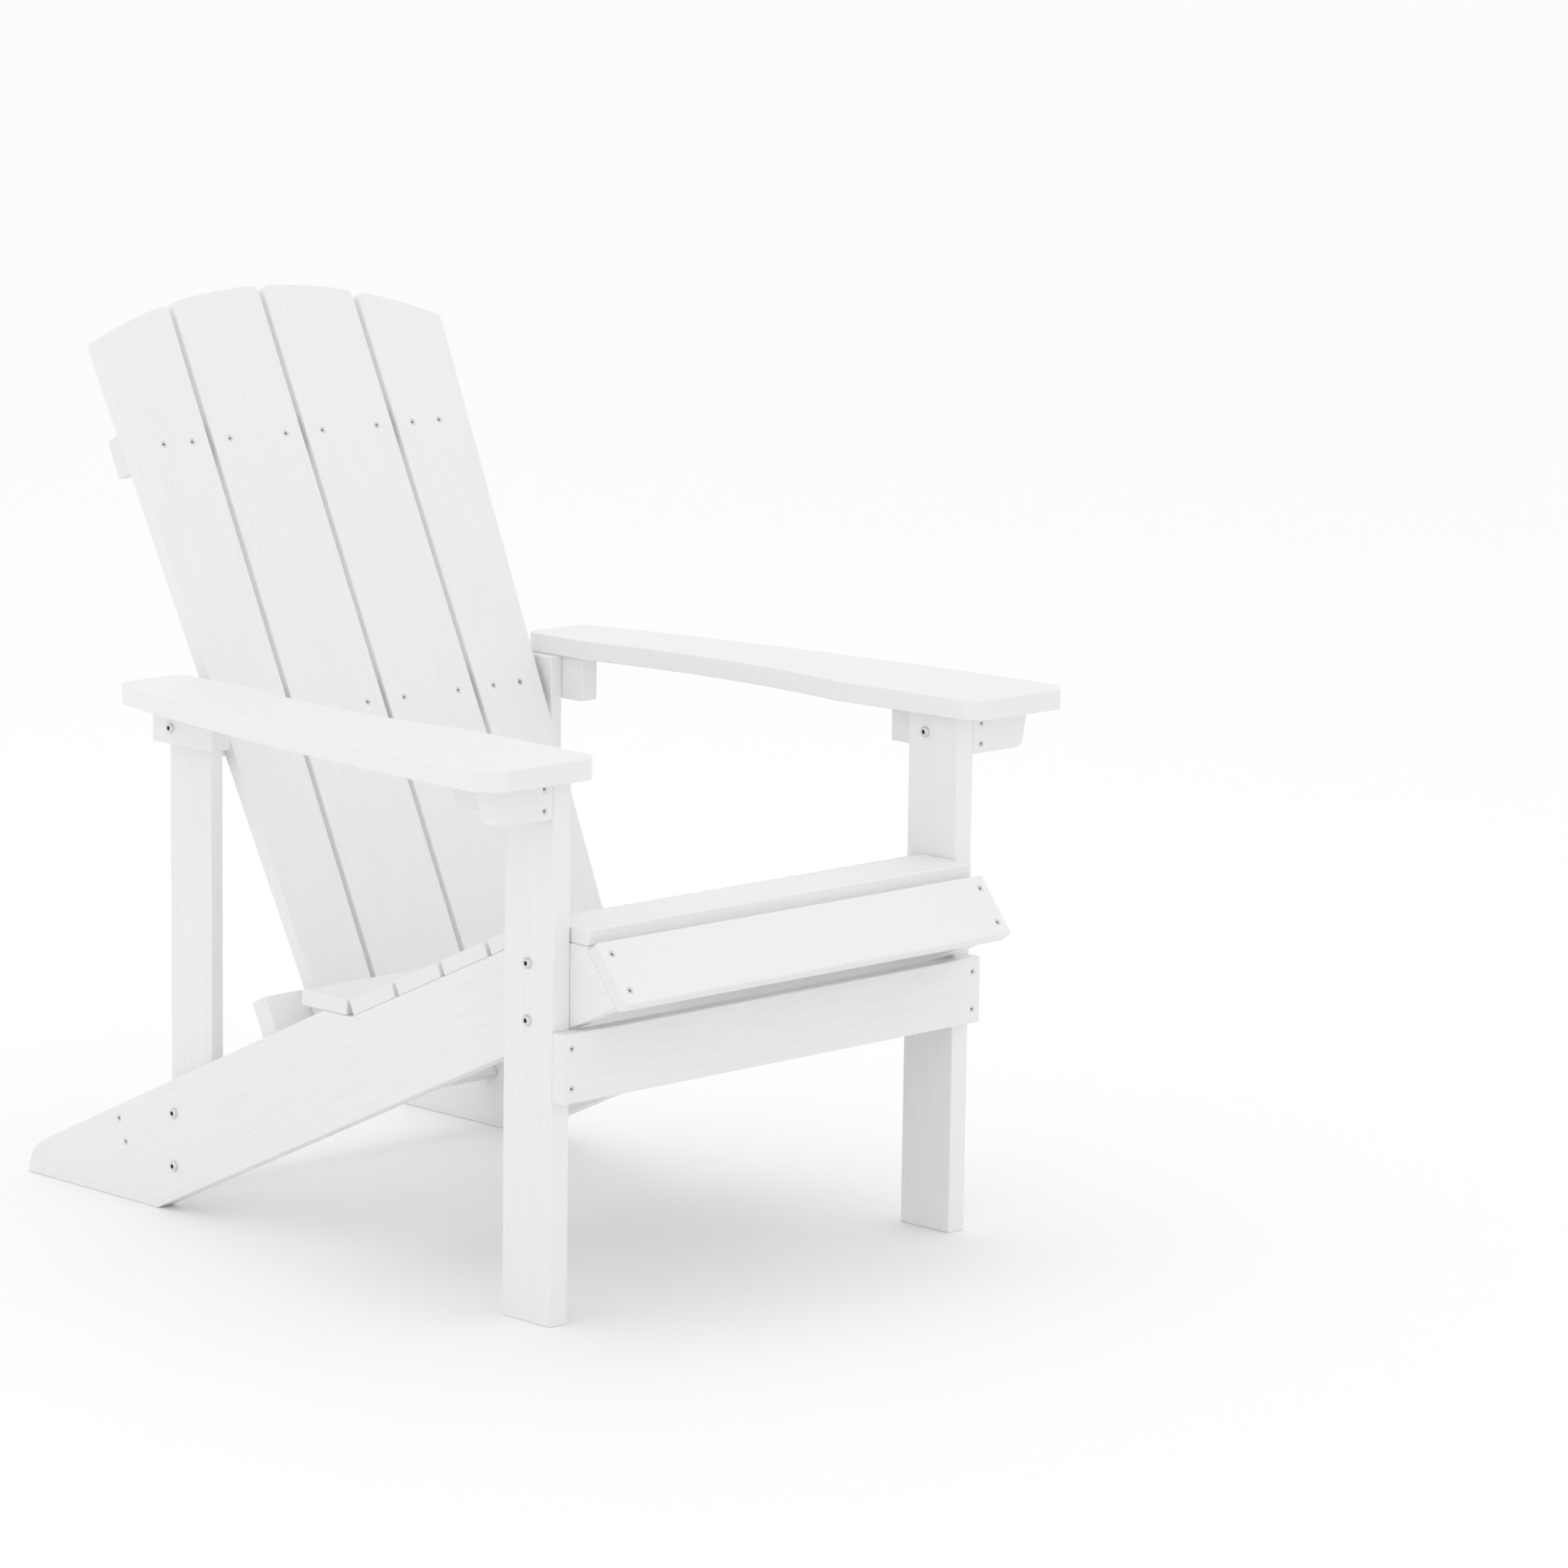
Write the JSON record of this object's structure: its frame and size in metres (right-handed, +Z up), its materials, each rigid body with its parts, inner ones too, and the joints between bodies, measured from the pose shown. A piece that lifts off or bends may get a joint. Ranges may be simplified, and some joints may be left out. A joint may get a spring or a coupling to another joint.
{
  "type": "adirondack chair",
  "caption": "Fixed garden chair of bolted and screwed boards, with a sloping slatted seat, a reclined fan-shaped slatted back and broad flat armrests.",
  "frame": {"origin": "on the floor, at the centre of the bounding box's underside, midway between the chair's two sides", "axes": "+X to the chair's right-hand side as seen from the front, across the chair; +Y from its front to its back; +Z up"},
  "size_m": [0.7658, 0.8721, 0.8838],
  "materials": {
    "white_board": "matte white, embossed with a fine wood grain",
    "stainless_fastener": "plain stainless steel"
  },
  "bodies": {
    "root": {"apron_screws": "stainless_fastener", "arm_block_lag_bolts": "stainless_fastener", "arm_block_screws": "stainless_fastener", "arm_bracket_screws": "stainless_fastener", "arm_cleat_bolts": "stainless_fastener", "arm_cleat_nuts": "stainless_fastener", "arm_cleat_screws": "stainless_fastener", "armrest_left": "white_board", "armrest_right": "white_board", "back_foot_screws": "stainless_fastener", "back_slat_inner_left": "white_board", "back_slat_inner_right": "white_board", "back_slat_outer_left": "white_board", "back_slat_outer_right": "white_board", "back_slat_screws": "stainless_fastener", "front_apron": "white_board", "front_arm_bracket_left": "white_board", "front_arm_bracket_right": "white_board", "front_arm_cleat_left": "white_board", "front_arm_cleat_right": "white_board", "front_leg_bolts": "stainless_fastener", "front_leg_left": "white_board", "front_leg_nuts": "stainless_fastener", "front_leg_right": "white_board", "front_rail_screws": "stainless_fastener", "lower_back_rail": "white_board", "lower_front_rail": "white_board", "middle_back_rail": "white_board", "rear_arm_block_left": "white_board", "rear_arm_block_right": "white_board", "rear_leg_bolts": "stainless_fastener", "rear_leg_left": "white_board", "rear_leg_nuts": "stainless_fastener", "rear_leg_right": "white_board", "rear_stretcher": "white_board", "seat_pins": "stainless_fastener", "seat_slat_1": "white_board", "seat_slat_2": "white_board", "seat_slat_3": "white_board", "seat_slat_4": "white_board", "seat_slat_5": "white_board", "seat_slat_6": "white_board", "side_rail_left": "white_board", "side_rail_right": "white_board", "stretcher_screws": "stainless_fastener", "upper_back_rail": "white_board"}
  },
  "joints": []
}
